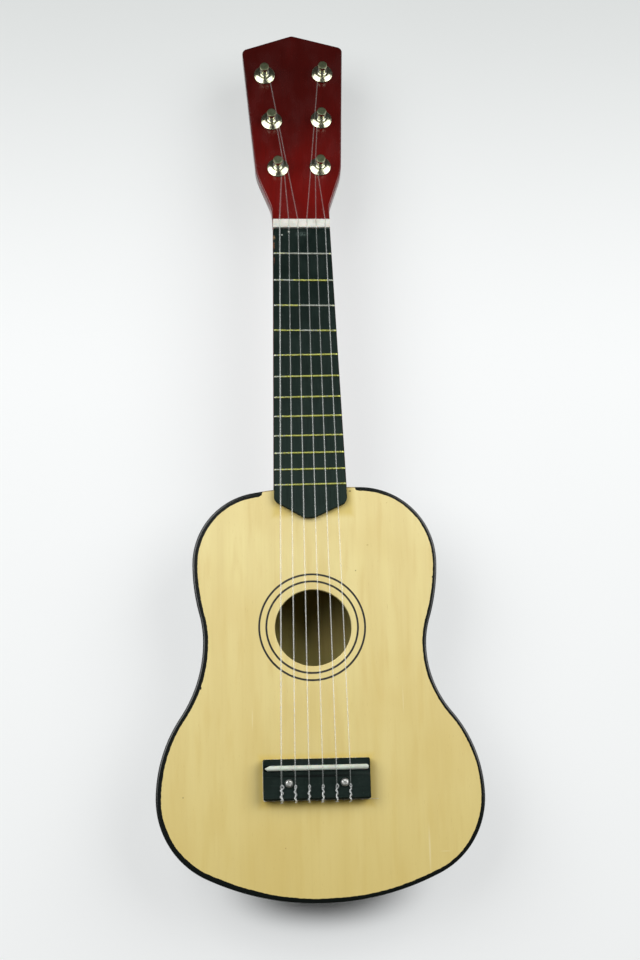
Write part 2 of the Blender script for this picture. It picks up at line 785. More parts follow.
def arc(centre: tuple[float, float], radius: float, start: float, end: float,
        steps: int) -> np.ndarray:
    """Points on a circle between two angles in degrees: centre + radius (cos a, sin a)."""
    a = np.radians(np.linspace(start, end, steps + 1))
    return np.array(centre) + radius * np.stack([np.cos(a), np.sin(a)], axis=-1)


def aim(start: tuple[float, float], end: tuple[float, float]) -> float:
    """Direction from one plane point to another, in degrees."""
    return float(np.degrees(np.arctan2(end[1] - start[1], end[0] - start[0])))


def rounded(corners: list[tuple[float, float, float]], steps: int = 10) -> np.ndarray:
    """A closed polygon whose corners are turned into arcs that touch both edges.

    Args:
        corners: x, y and corner radius, in order.
        steps: stretches in each arc.
    Returns:
        The outline's points.
    """
    parts = []
    for k, (x, y, r) in enumerate(corners):
        here = np.array([x, y])
        if r == 0:
            parts.append(here[None])
            continue
        u = np.array(corners[k - 1][:2]) - here
        v = np.array(corners[(k + 1) % len(corners)][:2]) - here
        u, v = u / np.linalg.norm(u), v / np.linalg.norm(v)
        half = np.arccos(np.clip(u @ v, -1, 1)) / 2
        centre = here + (u + v) / np.linalg.norm(u + v) * r / np.sin(half)
        first = aim(centre, here + u * r / np.tan(half))
        turn = -np.sign(u[0] * v[1] - u[1] * v[0]) * (180 - 2 * np.degrees(half))
        parts.append(arc(tuple(centre), r, first, first + turn, steps))
    return np.vstack(parts)


def inward(loop: np.ndarray, inset: float) -> np.ndarray:
    """A closed plane outline moved in by an equal distance at every corner, mitred.

    Args:
        loop: the outline's points, anticlockwise.
        inset: how far to move in.
    Returns:
        The moved points, in the same order.
    """
    edge = np.roll(loop, -1, axis=0) - loop
    edge = edge / np.linalg.norm(edge, axis=1, keepdims=True)
    normal = np.stack([-edge[:, 1], edge[:, 0]], axis=-1)
    before = np.roll(normal, 1, axis=0)
    both = normal + before
    return loop + inset * both / (1 + np.sum(normal * before, axis=1, keepdims=True))


def slab(loop: np.ndarray, profile: list[tuple[float, float]]) -> Form:
    """A plate whose rim follows insets and heights, from the bottom face to the top face."""
    return loft(np.array([raised(inward(loop, d), z) for d, z in profile]))


def tube(path: np.ndarray, radius: np.ndarray, sides: int = 10) -> Form:
    """A round tube: rings of points square to a path, their normals carried without twist.

    Args:
        path: points along the middle.
        radius: radius at each point.
        sides: points on a ring.
    Returns:
        The form, with flat ends.
    """
    ahead = np.gradient(path, axis=0)
    ahead /= np.linalg.norm(ahead, axis=1, keepdims=True)
    up = [np.array([1.0, 0.0, 0.0])]
    for t in ahead:                      # one step for each place on the path, not for each vertex
        n = up[-1] - (up[-1] @ t) * t
        up.append(n / np.linalg.norm(n))
    u = np.array(up[1:])
    v = np.cross(ahead, u)
    a = np.linspace(0, 2 * np.pi, sides, endpoint=False)[None, :, None]
    out = np.cos(a) * u[:, None] + np.sin(a) * v[:, None]
    return loft(path[:, None] + radius[:, None, None] * out)


def eased(points: np.ndarray, between: int) -> np.ndarray:
    """A smooth curve through points: the uniform Catmull-Rom cubic of each stretch.

    Args:
        points: points to pass through.
        between: samples in each stretch.
    Returns:
        Points along the curve, the given ones among them.
    """
    p = np.vstack([2 * points[0] - points[1], points, 2 * points[-1] - points[-2]])
    t = (np.arange(between) / between)[None, :, None]
    a, b, c, d = (p[k:len(p) - 3 + k][:, None] for k in range(4))
    curve = 0.5 * (2 * b + (c - a) * t + (2 * a - 5 * b + 4 * c - d) * t**2
                   + (3 * b - a - 3 * c + d) * t**3)
    return np.vstack([curve.reshape(-1, points.shape[1]), points[-1:]])


def eased_edges(node: str, name: str, stuff: Stuff, body: str, width: float,
                sharp: float = 32.0, steps: int = 2) -> None:
    """Hangs up a welded copy of a CAD node, its sharp edges broken by a small round.

    Args:
        node: the CAD node.
        name: the new piece's name.
        stuff: its finish.
        body: the body that carries it.
        width: size of the broken edge, in millimetres.
        sharp: edges sharper than this many degrees are broken.
        steps: facets across the broken edge.
    """
    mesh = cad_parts[node].data.copy()
    mesh.name = name
    weld(mesh, sharp, 0.5)
    mesh.materials.clear()
    mesh.materials.append(stuff.material)
    piece = put(name, mesh)
    worn = piece.modifiers.new("broken_edges", "BEVEL")
    worn.width, worn.segments, worn.limit_method = width * MM, steps, "ANGLE"
    worn.angle_limit, worn.harden_normals, worn.use_clamp_overlap = radians(sharp), True, True
    enrol(piece, stuff, body, node)


# ---------------------------------------------------------------- soundbox

@dataclass(frozen=True)
class Flank:
    """One side of the soundbox's outline, from the neck end to the tail, as eight touching arcs."""

    upper_w: float
    upper_drop: float
    waist_w: float
    waist_at: float
    lower_w: float
    lower_rise: float
    end_r: float
    tail_r: float
    upper_blend: float
    lower_blend: float
    end_y: float = 175.0
    tail_y: float = -79.5
    fine: int = 4

    @staticmethod
    def shoulder(r: float, w: float, drop: float) -> float:
        """Radius of the circle that touches x = w at that drop and an end arc of radius r."""
        return (r * r - w * w - (r - drop)**2) / (2 * (r - w))

    @staticmethod
    def bend(dx: float, dy: float) -> float:
        """Sum of the two radii of an S-bend that steps sideways by dx over a length dy."""
        return (dy * dy + dx * dx) / (2 * dx)

    def line(self, inset: float) -> np.ndarray:
        """The half outline on the +X side, moved in: each arc keeps its centre and changes radius.

        Args:
            inset: how far it is moved in.
        Returns:
            Plane points from the neck end to the tail, the same number for each inset.
        """
        uy, ly = self.end_y - self.upper_drop, self.tail_y + self.lower_rise
        ur = self.shoulder(self.end_r, self.upper_w, self.upper_drop)
        lr = self.shoulder(self.tail_r, self.lower_w, self.lower_rise)
        us = self.bend(self.upper_w - self.waist_w, uy - self.waist_at)
        ls = self.bend(self.lower_w - self.waist_w, self.waist_at - ly)
        ub, lb = self.upper_blend * us, self.lower_blend * ls
        end_c, tail_c = (0, self.end_y - self.end_r), (0, self.tail_y + self.tail_r)
        upper_c, lower_c = (self.upper_w - ur, uy), (self.lower_w - lr, ly)
        ub_c, lb_c = (self.upper_w - ub, uy), (self.lower_w - lb, ly)
        uw_c = (self.waist_w + us - ub, self.waist_at)
        lw_c = (self.waist_w + ls - lb, self.waist_at)
        a_end, a_tail = aim(end_c, upper_c), aim(tail_c, lower_c)
        a_up, a_low = aim(ub_c, uw_c), aim(lb_c, lw_c)
        arcs = [(end_c, self.end_r - inset, 90, a_end, 5), (upper_c, ur - inset, a_end, 0, 9),
                (ub_c, ub - inset, 0, a_up, 4), (uw_c, us - ub + inset, 180 + a_up, 180, 3),
                (lw_c, ls - lb + inset, 180, 180 + a_low, 4), (lb_c, lb - inset, a_low, 0, 4),
                (lower_c, lr - inset, 0, a_tail, 10),
                (tail_c, self.tail_r - inset, a_tail, -90, 6)]
        parts = [arc(*where, steps * self.fine) for *where, steps in arcs]
        return np.vstack([parts[0][:1], *(p[1:] for p in parts)])


@dataclass
class Soundbox:
    """The hollow body: face, back, two bent sides, and the frame of blocks and strips inside."""

    bass: Flank = Flank(77.3, 48.5, 70.9, 78.1, 100.0, 63.1, 230.0, 164.0, 0.65, 0.51)
    treble: Flank = Flank(76.3, 48.2, 67.8, 72.8, 100.2, 61.9, 1280.0, 166.0, 0.68, 0.55)
    height: float = FACE_Z
    plate: float = 3.0
    wall: float = 3.0
    edge_r: float = 1.2
    hole_r: float = 23.8
    hole: tuple[float, float] = (-2.4, 85.5)
    band_bass: float = 3.35
    band_treble: float = 2.6
    band_ends: tuple[float, float] = (-32.0, 25.3)
    neck_side: float = 112.0

    def outline(self, inset: float) -> np.ndarray:
        """The whole outline moved in, clockwise from the neck end down the treble side."""
        right, left = self.treble.line(inset), self.bass.line(inset) * (-1, 1)
        return np.vstack([right, left[-2:0:-1]])

    def band(self) -> np.ndarray:
        """Width of the black edge paint at each outline point, below 0 where the wood is bare.

        It runs evenly from the bass width to the treble width across the guitar, wavers a little,
        and stops at its two ends beside the neck; `neck_side` is the Y past which they count.

        Returns:
            The width at each point, in the outline's order.
        """
        x, y = self.outline(0).T
        start, end = self.band_ends
        width = np.interp(x, [-60, 60], [self.band_bass, self.band_treble])
        width += 0.10 * np.sin(x / 9 + y / 14) + 0.06 * np.sin(x / 4.1 - y / 6.3)
        by_neck = y > self.neck_side
        near = np.minimum(np.abs(x - start), np.abs(x - end))
        taper = np.where(by_neck, np.clip(near / 3, 0.75, 1), 1)
        return np.where(by_neck & (x > start) & (x < end), -2.5, width * taper)

    def edge(self) -> list[tuple[float, float]]:
        """The rounded outer edge of a plate as inset and depth below its face."""
        bow = arc((self.edge_r, self.edge_r), self.edge_r, 270, 180, 7)
        return [(float(d), float(z)) for d, z in bow]

    def soundboard(self) -> None:
        """The face: rings from the hole's wall over the flat to the rounded edge and back below.

        A ring is either the outline moved in, or a mix of the hole's circle and the outline, where
        both run at the same angle about the hole.
        """
        inner = self.outline(9)
        around = inner - self.hole
        unit = around / np.linalg.norm(around, axis=1, keepdims=True)
        top, under, edge = self.height, self.height - self.plate, self.band()
        rings, paint, inset = [], [], []

        def ring(points: np.ndarray, z: float, d: float | None = None) -> None:
            """Adds a ring of points to the face.

            Args:
                points: the ring in the plane.
                z: its height.
                d: its distance from the edge, or None away from it.
            """
            rings.append(raised(points, z))
            paint.append(np.full(len(points), -5.0) if d is None else edge - d)
            inset.append(np.full(len(points), 20.0 if d is None else d))

        for r, z in ((0, under), (0, top - 0.5), (0.08, top - 0.2), (0.25, top - 0.05),
                     (0.5, top)):
            ring(self.hole + unit * (self.hole_r + r), z)
        start = self.hole + unit * (self.hole_r + 0.5)
        for t in np.linspace(0.12, 0.9, 8):
            ring(start + (inner - start) * t, top)
        for d in (9, 7, 5.5, 4.6, 3.9, 3.3, 2.8, 2.3, 1.8):
            ring(self.outline(d), top, d)
        for d, z in self.edge():
            ring(self.outline(d), top - z, d)
        ring(self.outline(0), under, 0)
        ring(self.outline(0.4), under)
        for t in (0.66, 0.33):
            ring(start + (inner - start) * t, under)
        form = loft(np.array(rings), wrap=True)
        below = np.arange(len(rings)) >= len(rings) - 3
        form.finish = np.repeat(below, len(inner)).astype(int).tolist()
        form.marks = {"paint_mm": np.concatenate(paint), "inset_mm": np.concatenate(inset)}
        form.hang("soundboard_ply_face", [Stuff.FACE, Stuff.PLY], "soundboard")

    def back(self) -> None:
        """The back: the same edge turned over, flat inside and out, closed in the middle."""
        middle = np.array([0.0, 48.0])
        outer = [(9.0, 0.0)] + self.edge()
        inner = [(d, self.plate) for d in (0.0, 0.5, 9.0)]
        shares = (0.0, 0.3, 0.65)
        rings = [(middle + (self.outline(9) - middle) * t, 0.0) for t in shares]
        rings += [(self.outline(d), z) for d, z in outer + inner]
        rings += [(middle + (self.outline(9) - middle) * t, self.plate) for t in reversed(shares)]
        points = np.vstack([raised(p, z) for p, z in rings])
        cols = len(rings[0][0])
        faces = grid(len(rings), cols)
        first_inner = len(shares) + len(outer)
        finish = (np.repeat(np.arange(len(rings) - 1), cols) >= first_inner).astype(int)
        form = Form(points, faces.tolist(), finish.tolist())
        form.hang("back_ply_lacquered", [Stuff.LACQUER, Stuff.PLY], "back_plate")

    def side(self, flank: Flank, sign: int, word: str) -> None:
        """A bent side: the strip between two insets of the half outline, carried along it.

        Args:
            flank: the half outline.
            sign: 1 on the treble side, -1 on the bass side.
            word: treble or bass.
        """
        low, high = self.plate, self.height - self.plate
        middle = (low + high) / 2
        section = [(0.0, z) for z in (low, low + 0.4, middle, high - 0.4, high)]
        section += [(self.wall, z) for z in (high, middle, low)]
        rows = [raised(flank.line(d) * (sign, 1), z) for d, z in section]
        rings = np.array(rows).transpose(1, 0, 2)
        form = loft(rings)
        outer = np.tile(np.arange(len(section)) >= 4, len(rings) - 1).astype(int)
        form.finish = outer.tolist() + [1, 1]
        form.hang(f"side_{word}_bent", [Stuff.LACQUER, Stuff.PLY], f"side_{word}")

    def build(self) -> None:
        """Builds the shell and dresses the frame inside it."""
        self.soundboard()
        self.back()
        self.side(self.bass, -1, "bass")
        self.side(self.treble, 1, "treble")
        dress(Stuff.PINE, "neck_block", "tail_block")
        dress(Stuff.PLY, "lining_top_bass", "lining_top_treble", "lining_back_bass",
              "lining_back_treble")
        dress(Stuff.CROSS, "brace_top_upper", "brace_top_lower", "brace_back_upper",
              "brace_back_lower", "bridge_plate")


# ---------------------------------------------------------------- neck and its places

@dataclass(frozen=True)
class Places:
    """Where things sit on neck and headstock: the frames that turn their points to the guitar's."""

    scale: float = 350.0
    nut_lead: float = 1.0
    neck_x: float = -2.4
    neck_yaw: float = 0.6
    nut_t: float = 6.0
    head_tilt: float = 6.3
    head_yaw: float = 0.75
    board_nut_w: float = 37.4
    board_end_w: float = 46.0
    fret_off: tuple = (0.8, 0.8, 0.9, 0.35, -0.6, -0.25, -0.2, 0.2, -0.25, 0.1, 0.4, 0.9)

    @property
    def end_y(self) -> float:
        """The neck end, under the twelfth fret."""
        return self.scale / 2

    @property
    def nut_y(self) -> float:
        """The nut's string edge, from the neck end."""
        return self.end_y - self.nut_lead

    @property
    def head_y(self) -> float:
        """The headstock's start, from the neck end."""
        return self.nut_y + self.nut_t

    def board_w(self, y: np.ndarray | float) -> np.ndarray | float:
        """Width of the fretboard at a distance from the neck end."""
        return self.board_end_w + (self.board_nut_w - self.board_end_w) * y / self.nut_y

    @staticmethod
    def turned(points: np.ndarray, axis: str, angle: float) -> np.ndarray:
        """Points turned about an axis through the origin, the angle in degrees."""
        return points @ np.array(Matrix.Rotation(radians(angle), 3, axis)).T

    def on_neck(self, points: np.ndarray) -> np.ndarray:
        """Points in the neck's frame turned to the guitar's."""
        return self.turned(points, "Z", self.neck_yaw) + (self.neck_x, self.end_y, FACE_Z)

    def on_head(self, points: np.ndarray) -> np.ndarray:
        """Points in the headstock's frame turned to the guitar's."""
        tilted = self.turned(self.turned(points, "X", -self.head_tilt), "Z", self.head_yaw)
        return self.on_neck(tilted + (0, self.head_y, 0))

    def fret_y(self, k: int) -> float:
        """Place of a fret from the neck end: the tempered scale, and how far the saw was off it."""
        return self.scale / 2**(k / 12) - self.end_y + self.fret_off[k - 1]


AT = Places()


@dataclass
class PegPlaces:
    """The six pegs on the headstock, numbered like their strings, bass first."""

    first: float = 41.4
    pitch: float = 36.5
    bass_x: tuple = (13.7, 16.5, 19.9)
    treble_x: tuple = (14.8, 17.3, 19.8)
    order: tuple = ((-1, 0), (-1, 1), (-1, 2), (1, 2), (1, 1), (1, 0))

    def spot(self, i: int) -> np.ndarray:
        """Foot of a peg in the headstock's frame.

        Args:
            i: the peg, from 0.
        Returns:
            Its place on the headstock's face.
        """
        side, row = self.order[i]
        x = side * (self.bass_x if side < 0 else self.treble_x)[row]
        return np.array([x, self.first + row * self.pitch, 0.0])

    def carried(self, form: Form, i: int) -> Form:
        """A form made round the origin's Z axis, carried to peg i."""
        form.points = AT.on_head(form.points + self.spot(i))
        return form


PEGS = PegPlaces()


@dataclass
class Neck:
    """The red neck: heel, shaft and headstock carved from one piece, with six stepped bores."""

    margin: float = 0.6
    nut_h: float = 11.5
    heel_h: float = 13.5
    foot_h: float = 50.0
    heel_l: float = 36.0
    head_t: float = 10.0
    head_l: float = 146.5
    head_w: float = 69.6
    peak_h: float = 11.0
    edge_r: float = 1.1
    sleeve_r: float = 3.0
    sleeve_l: float = 5.3
    bore_r: float = 2.6

    def shaft(self) -> Form:
        """Heel and shaft: half-round sections, x = w/2 cos a, z = -h sin(a)^e, along the neck.

        The heel's depth and length follow a quarter turn. From there the depth h, and the power e
        that squares the section, run in straight stretches to the headstock.

        Returns:
            The form, in the guitar's frame.
        """
        turn = np.radians(np.linspace(0, 90, 22))
        heel = np.column_stack([self.heel_l * (1 - np.cos(turn)),
                                self.foot_h + (self.heel_h - self.foot_h) * np.sin(turn),
                                0.42 + 0.38 * np.sin(turn)])
        place, depth, power = zip(
            (self.heel_l, self.heel_h, 0.8), (AT.nut_y - 24, self.nut_h + 0.2, 0.8),
            (AT.nut_y - 14, self.nut_h - 0.2, 0.72), (AT.nut_y - 5, self.head_t + 0.5, 0.45),
            (AT.head_y - 1.4, self.head_t + 0.05, 0.1), (AT.head_y - 0.02, self.head_t, 0.04))
        y = np.concatenate([np.linspace(self.heel_l + 4, AT.nut_y - 26, 24),
                            np.linspace(AT.nut_y - 24, AT.head_y - 0.02, 22)])
        run = np.column_stack([y, np.interp(y, place, depth), np.interp(y, place, power)])
        along = np.vstack([[[-0.4, self.foot_h, 0.42]], heel, run])
        half = (AT.board_w(np.minimum(along[:, 0], AT.nut_y)) + self.margin)[:, None] / 2
        a = np.linspace(0, np.pi, 49)[None, :]
        y_all, h, e = (along[:, k:k + 1] for k in range(3))
        x = half * np.cos(a)
        z = -h * np.clip(np.sin(a), 0, 1)**e
        form = loft(np.stack([x, y_all + 0 * a, z], axis=-1))
        form.points = AT.on_neck(form.points)
        return form

    def head(self) -> Form:
        """The headstock: throat, flare, straight flanks, two corners and a peak, edges rounded.

        The rounding grows from nothing at the throat, so that the plate meets the shaft there.

        Returns:
            The form, in the guitar's frame.
        """
        throat = (AT.board_nut_w + self.margin) / 2
        right = [(throat, 0, 0), (throat + 0.3, 11, 25), (throat + 9.6, 37, 40),
                 (self.head_w / 2, self.head_l - self.peak_h, 4)]
        left = [(-x, y, r) for x, y, r in reversed(right)]
        loop = rounded(right + [(0, self.head_l, 5)] + left, 14)
        grow = np.clip(loop[:, 1:] / 10, 0, 1)
        bow = arc((self.edge_r, self.edge_r), self.edge_r, 180, 270, 5)

        def ring(inset: float, z: float) -> np.ndarray:
            """The outline moved in, less so near the throat, at a height."""
            moved = loop + (inward(loop, inset) - loop) * grow
            return raised(moved, z)

        lower = [ring(d, z - self.head_t) for d, z in bow[::-1]]
        upper = [ring(d, -z) for d, z in bow]
        flat = self.edge_r + 0.5
        rings = [ring(flat, -self.head_t), *lower, *upper, ring(flat, 0.0)]
        form = loft(np.array(rings))
        form.points = AT.on_head(form.points)
        return form

    def bores(self) -> Form:
        """Cutters for the pegs: a wide bore for each sleeve on a narrow one right through."""
        profile = np.array([[0, -self.head_t - 4], [self.bore_r, -self.head_t - 4],
                            [self.bore_r, -self.sleeve_l], [self.sleeve_r, -self.sleeve_l],
                            [self.sleeve_r, 4], [0, 4]])
        return together([PEGS.carried(lathe(profile, 32), i) for i in range(6)])

    def build(self) -> None:
        """Joins shaft and head, drills the bores, and hangs the neck on the guitar."""
        neck = self.shaft().make("neck_carved", [Stuff.RED])
        tools = [("join", "UNION", self.head().make("head_blank", [Stuff.RED])),
                 ("drill", "DIFFERENCE", self.bores().make("peg_cutters", [Stuff.RED]))]
        for word, way, tool in tools:
            cut = neck.modifiers.new(word, "BOOLEAN")
            cut.operation, cut.solver, cut.object = way, "EXACT", tool
        graph = bpy.context.evaluated_depsgraph_get()
        shaped = bpy.data.meshes.new_from_object(neck.evaluated_get(graph))
        neck.modifiers.clear()
        neck.data = shaped
        weld(shaped)
        for _, _, tool in tools:
            bpy.data.objects.remove(tool)
        enrol(neck, Stuff.RED, ROOT, "neck")


# ---------------------------------------------------------------- fretboard, frets and nut

@dataclass
class Fingerboard:
    """The black board with its twelve frets and the nut."""

    thick: float = 3.5
    tip: float = 20.4
    tip_l: float = 11.5
    tip_x: float = -1.1
    tip_lean: float = 2.0
    crown_r: float = 0.75
    tang_w: float = 0.6
    tang_h: float = 1.5
    crooked: float = -1.5
    nut_h: float = 1.9
    nut_turn: float = -1.0
    string_lift: float = 1.25
    nut_shift: float = 0.6
    nut_pitch: float = 6.0

    def board(self) -> None:
        """The board: its plan with a blunt pointed end, its upper edges broken by hand."""
        shoulder = self.tip_l - self.tip
        w0, w1 = AT.board_w(AT.nut_y) / 2, AT.board_w(shoulder) / 2
        turn = np.tan(radians(self.nut_turn)) * w0
        loop = rounded([(w0, AT.nut_y + turn, 0), (-w0, AT.nut_y - turn, 0), (-w1, shoulder, 5),
                        (self.tip_x - 3, -self.tip, 6), (self.tip_x + 3, -self.tip, 6),
                        (w1, shoulder - self.tip_lean, 5)])
        bow = arc((0.45, self.thick - 0.45), 0.45, 180, 90, 4)
        form = slab(loop, [(0.3, 0.0), (0.0, 0.15), (0.0, 1.5), *map(tuple, bow),
                           (0.9, self.thick)])
        form.points = AT.on_neck(form.points)
        form.hang("fretboard_dyed", [Stuff.BOARD], "fretboard")

    def wash(self, k: int, share: np.ndarray) -> np.ndarray:
        """How much nickel wash is left along a fret, its share running from bass to treble.

        The first fret keeps most of it, the second only its ends, the third and fourth some
        stretches, the rest a little at the bass end.
        """
        left = {1: ([0, 0.25, 0.3, 0.8, 1], [0.7, 0.7, 1, 1, 0.8]),
                2: ([0, 0.3, 0.4, 0.88, 0.94, 1], [0.9, 0.8, 0.1, 0.1, 0.9, 0.9]),
                3: ([0, 0.1, 0.4, 0.46, 0.8, 1], [0.9, 0.3, 0.3, 1, 1, 0.8]),
                4: ([0, 0.42, 0.5, 0.65, 0.72, 1], [0.2, 0.2, 0.9, 0.9, 0.2, 0.3])}
        return np.interp(share, *left.get(k, ([0, 0.12, 0.3, 1], [0.8, 0.4, 0.1, 0.1])))

    def fret(self, k: int) -> None:
        """A fret: a half-round crown on a tang, its section carried across the board.

        The crown sinks at both ends, where a file took the corner off, and wavers a little.

        Args:
            k: the fret's number, from 1 at the nut.
        """
        w = AT.board_w(AT.fret_y(k))
        x = np.linspace(-w / 2, w / 2, 46)
        a = np.radians(np.linspace(0, 180, 13))
        ends = np.sqrt(np.clip(1 - (np.clip(np.abs(x) - w / 2 + 0.8, 0, 0.8) / 0.85)**2, 0.05, 1))
        waver = 1 + 0.03 * np.sin(x * 0.9 + k) + 0.02 * np.sin(x * 2.3 + 2 * k)
        crown = np.stack([self.crown_r * np.cos(a), self.crown_r * np.sin(a)], axis=-1)
        tang = self.tang_w / 2
        foot = np.array([[-tang, 0], [-tang, -self.tang_h], [tang, -self.tang_h], [tang, 0]])
        section = np.vstack([crown, foot])
        z = section[:, 1] * np.where(section[:, 1] > 0, (ends * waver)[:, None], 1.0)
        form = loft(np.stack(np.broadcast_arrays(x[:, None], section[:, 0], z), axis=-1))
        share = np.repeat((x + w / 2) / w, len(section))
        form.marks["wash"] = self.wash(k, share)
        form.marks["rise"] = np.clip(form.points[:, 2] / self.crown_r, 0, 1)
        bent = AT.turned(form.points, "Z", self.crooked if k <= 4 else 0.0)
        form.points = AT.on_neck(bent + (0, AT.fret_y(k), self.thick))
        form.hang(f"fret_{k:02d}_wire", [Stuff.FRET], f"fret_{k:02d}")

    def nut(self) -> None:
        """The nut: a block with a softened top, cut by six rounded grooves.

        At each place across, the top is the block's height, lowered inside a groove of radius r to
        the string's underside by the groove's circle, with straight walls above its middle.
        """
        w = AT.board_nut_w + 0.2
        r = np.array(STRING_D) / 2 + 0.15
        places = self.nut_shift + (np.arange(6) - 2.5) * self.nut_pitch
        steps = np.concatenate([c + rr * np.array([-1.04, -1.0, -0.8, -0.5, 0, 0.5, 0.8, 1.0, 1.04])
                                for c, rr in zip(places, r)])
        ends = w / 2 - np.array([0, 0.1, 0.25])
        x = np.sort(np.concatenate([np.linspace(-w / 2 + 0.5, w / 2 - 0.5, 30), steps,
                                    -ends, ends]))
        near = np.abs(x[:, None] - places)
        bottom = self.thick + self.string_lift
        groove = bottom + r - np.sqrt(np.clip(r**2 - near**2, 0, None))
        dip = np.where(near <= r * 1.001, groove, 99).min(axis=1)
        top = np.minimum(self.thick + self.nut_h, dip)
        end = np.clip(w / 2 - np.abs(x), 0, 0.4)
        top = top - (0.4 - np.sqrt(np.clip(0.16 - (0.4 - end)**2, 0, None)))
        t, soft = AT.nut_t - 0.04, 0.5
        y = np.array([0, 0, 0.07, 0.25, soft, t - soft, t - 0.25, t - 0.07, t, t])
        fall = np.array([99, soft, 0.25, 0.07, 0, 0, 0.07, 0.25, soft, 99])
        cut = (self.thick + self.nut_h) - fall
        z = np.where(fall > 90, 0.0, np.minimum(top[:, None], cut[None, :]))
        form = loft(np.stack(np.broadcast_arrays(x[:, None], y + 0.02, z), axis=-1))
        form.points = AT.on_neck(AT.turned(form.points, "Z", self.nut_turn) + (0, AT.nut_y, 0))
        form.hang("nut_grooved", [Stuff.WHITE], "nut")

    def build(self) -> None:
        """Builds the board, the frets and the nut."""
        self.board()
        for k in range(1, 13):
            self.fret(k)
        self.nut()


FINGERBOARD = Fingerboard()


# ---------------------------------------------------------------- bridge

@dataclass
class Bridge:
    """The bridge block with its saddle blade, two screws and the dried glue round its foot."""

    x: float = -2.6
    width: float = 64.8
    length: float = 24.3
    front: float = 5.5
    saddle_l: float = 62.6
    saddle_t: float = 3.2
    saddle_foot: float = 3.5
    saddle_top: float = 9.8

    def saddle(self) -> None:
        """The saddle: a blade with a round crest, whittled to a point at the bass end.

        Across the blade the top is the crest circle's height; along it both flanks close in.
        """
        half, r = self.saddle_l / 2, self.saddle_t / 2
        tip = np.array([0, 0.05, 0.3, 0.8, 1.6, 2.3, 3.0])
        tail = 1.5 * (1 - np.cos(np.radians(np.linspace(90, 0, 7))))
        x = np.concatenate([-half + tip, np.linspace(-half + 4, half - 2, 22), half - tail])
        upper = np.interp(x, [-half, -half + 3], [0.02, r])
        lower = np.interp(x, [-half, -half + 1.6], [-0.02, -r])
        end = np.clip((x - (half - 1.5)) / 1.5, 0, 1)
        round_end = 0.1 + 1.5 * np.sqrt(np.clip(1 - end**2, 0, 1))
        upper, lower = np.minimum(upper, round_end), np.maximum(lower, -round_end)
        s = np.linspace(0, 1, 13)
        y = lower[:, None] + (upper - lower)[:, None] * (1 - np.cos(np.pi * s)) / 2
        crest = self.saddle_top - r
        sag = 0.12 * np.sin(x[:, None] / 7) * np.exp(-((x[:, None] - 6) / 22)**2)
        z = crest + np.sqrt(np.clip(r**2 - y**2, 0, None)) - 0.1 * np.abs(sag)
        low = np.full((len(x), 1), self.saddle_foot)
        ys = np.hstack([y[:, :1], y, y[:, -1:]])
        zs = np.hstack([low, z, low])
        rings = np.stack(np.broadcast_arrays(x[:, None], ys, zs), axis=-1)
        loft(rings + (self.x, 0, FACE_Z)).hang("saddle_blade", [Stuff.BLADE], "saddle")

    def glue(self) -> None:
        """The dried glue: a lumpy bead round the bridge's foot, thickest behind it.

        A thin uneven thread of it runs along the back edge.
        """
        back = self.front - self.length
        hw = self.width / 2
        loop = rounded([(hw, back, 1), (hw, self.front, 1), (-hw, self.front, 1),
                        (-hw, back, 1)], 4)
        stretch = np.vstack([loop, loop[:1]])
        length = np.concatenate([[0], np.cumsum(np.linalg.norm(np.diff(stretch, axis=0), axis=1))])
        s = np.linspace(0, length[-1], 260, endpoint=False)
        mid = np.column_stack([np.interp(s, length, stretch[:, k]) for k in (0, 1)])
        lump = 0.5 + 0.28 * np.sin(s * 1.7) * np.sin(s * 0.53 + 1) + 0.2 * np.sin(s * 3.9)
        behind = mid[:, 1] < back + 0.6
        radius = np.clip(lump, 0.12, None) * np.where(behind, 1.05, 0.42)
        a = np.radians(np.linspace(0, 360, 8, endpoint=False))
        away = np.where(np.abs(np.abs(mid[:, 0]) - hw)[:, None] < 0.4, np.sign(mid) * (1, 0),
                        np.sign(mid - (0, (back + self.front) / 2)) * (0, 1))
        flat = mid[:, None] + away[:, None] * (radius[:, None] * np.cos(a))[..., None]
        z = FACE_Z + 0.05 + 0.45 * radius[:, None] * np.sin(a)
        bead = loft(np.concatenate([flat + (self.x, 0), z[..., None]], axis=-1), wrap=True)
        run = np.linspace(-hw + 2, hw + 5, 120)
        ridge = np.column_stack([run + self.x, back - 0.25 + 0.06 * np.sin(run * 2.3),
                                 FACE_Z + 0.1 + 0 * run])
        thread = tube(ridge, 0.16 + 0.1 * np.sin(run * 3.1) * np.sin(run * 0.7), 6)
        bead.joined(thread).hang("bridge_glue_bead", [Stuff.GLUE])

    def build(self) -> None:
        """Builds block, blade, screws and glue."""
        eased_edges("bridge", "bridge_block", Stuff.BLOCK, ROOT, 0.3)
        eased_edges("bridge_screws", "bridge_screw_heads", Stuff.ZINC, ROOT, 0.06)
        self.saddle()
        self.glue()


# ---------------------------------------------------------------- pegs

